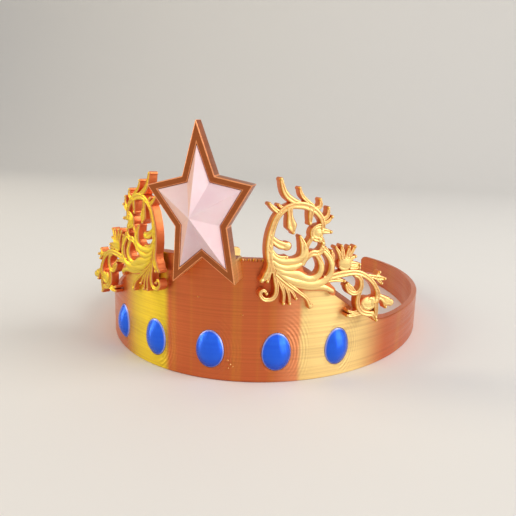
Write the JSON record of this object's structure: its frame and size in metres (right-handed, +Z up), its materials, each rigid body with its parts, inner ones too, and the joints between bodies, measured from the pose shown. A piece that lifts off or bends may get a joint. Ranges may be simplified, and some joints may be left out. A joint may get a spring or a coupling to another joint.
{
  "type": "tiara",
  "caption": "Open-backed tiara with a raised front, egg-shaped gems round the band, a faceted star on its centre and a pierced acanthus scroll on each shoulder.",
  "frame": {"origin": "middle of the whole part's box, at the level of the band's flat base", "axes": "+Z up, -Y towards the star at the front, +Y towards the open back, +X to the right as seen from the front"},
  "size_m": [0.14, 0.1894, 0.0863],
  "materials": {
    "silk_copper": "silk plastic with fine level layer lines",
    "pale_pink": "satin, smooth facets",
    "gem_blue": "satin with fine level layer lines"
  },
  "bodies": {
    "root": {"crown_body": "silk_copper", "star_insert": "pale_pink", "gem_far_left": "gem_blue", "gem_left": "gem_blue", "gem_centre": "gem_blue", "gem_right": "gem_blue", "gem_far_right": "gem_blue"}
  },
  "joints": []
}
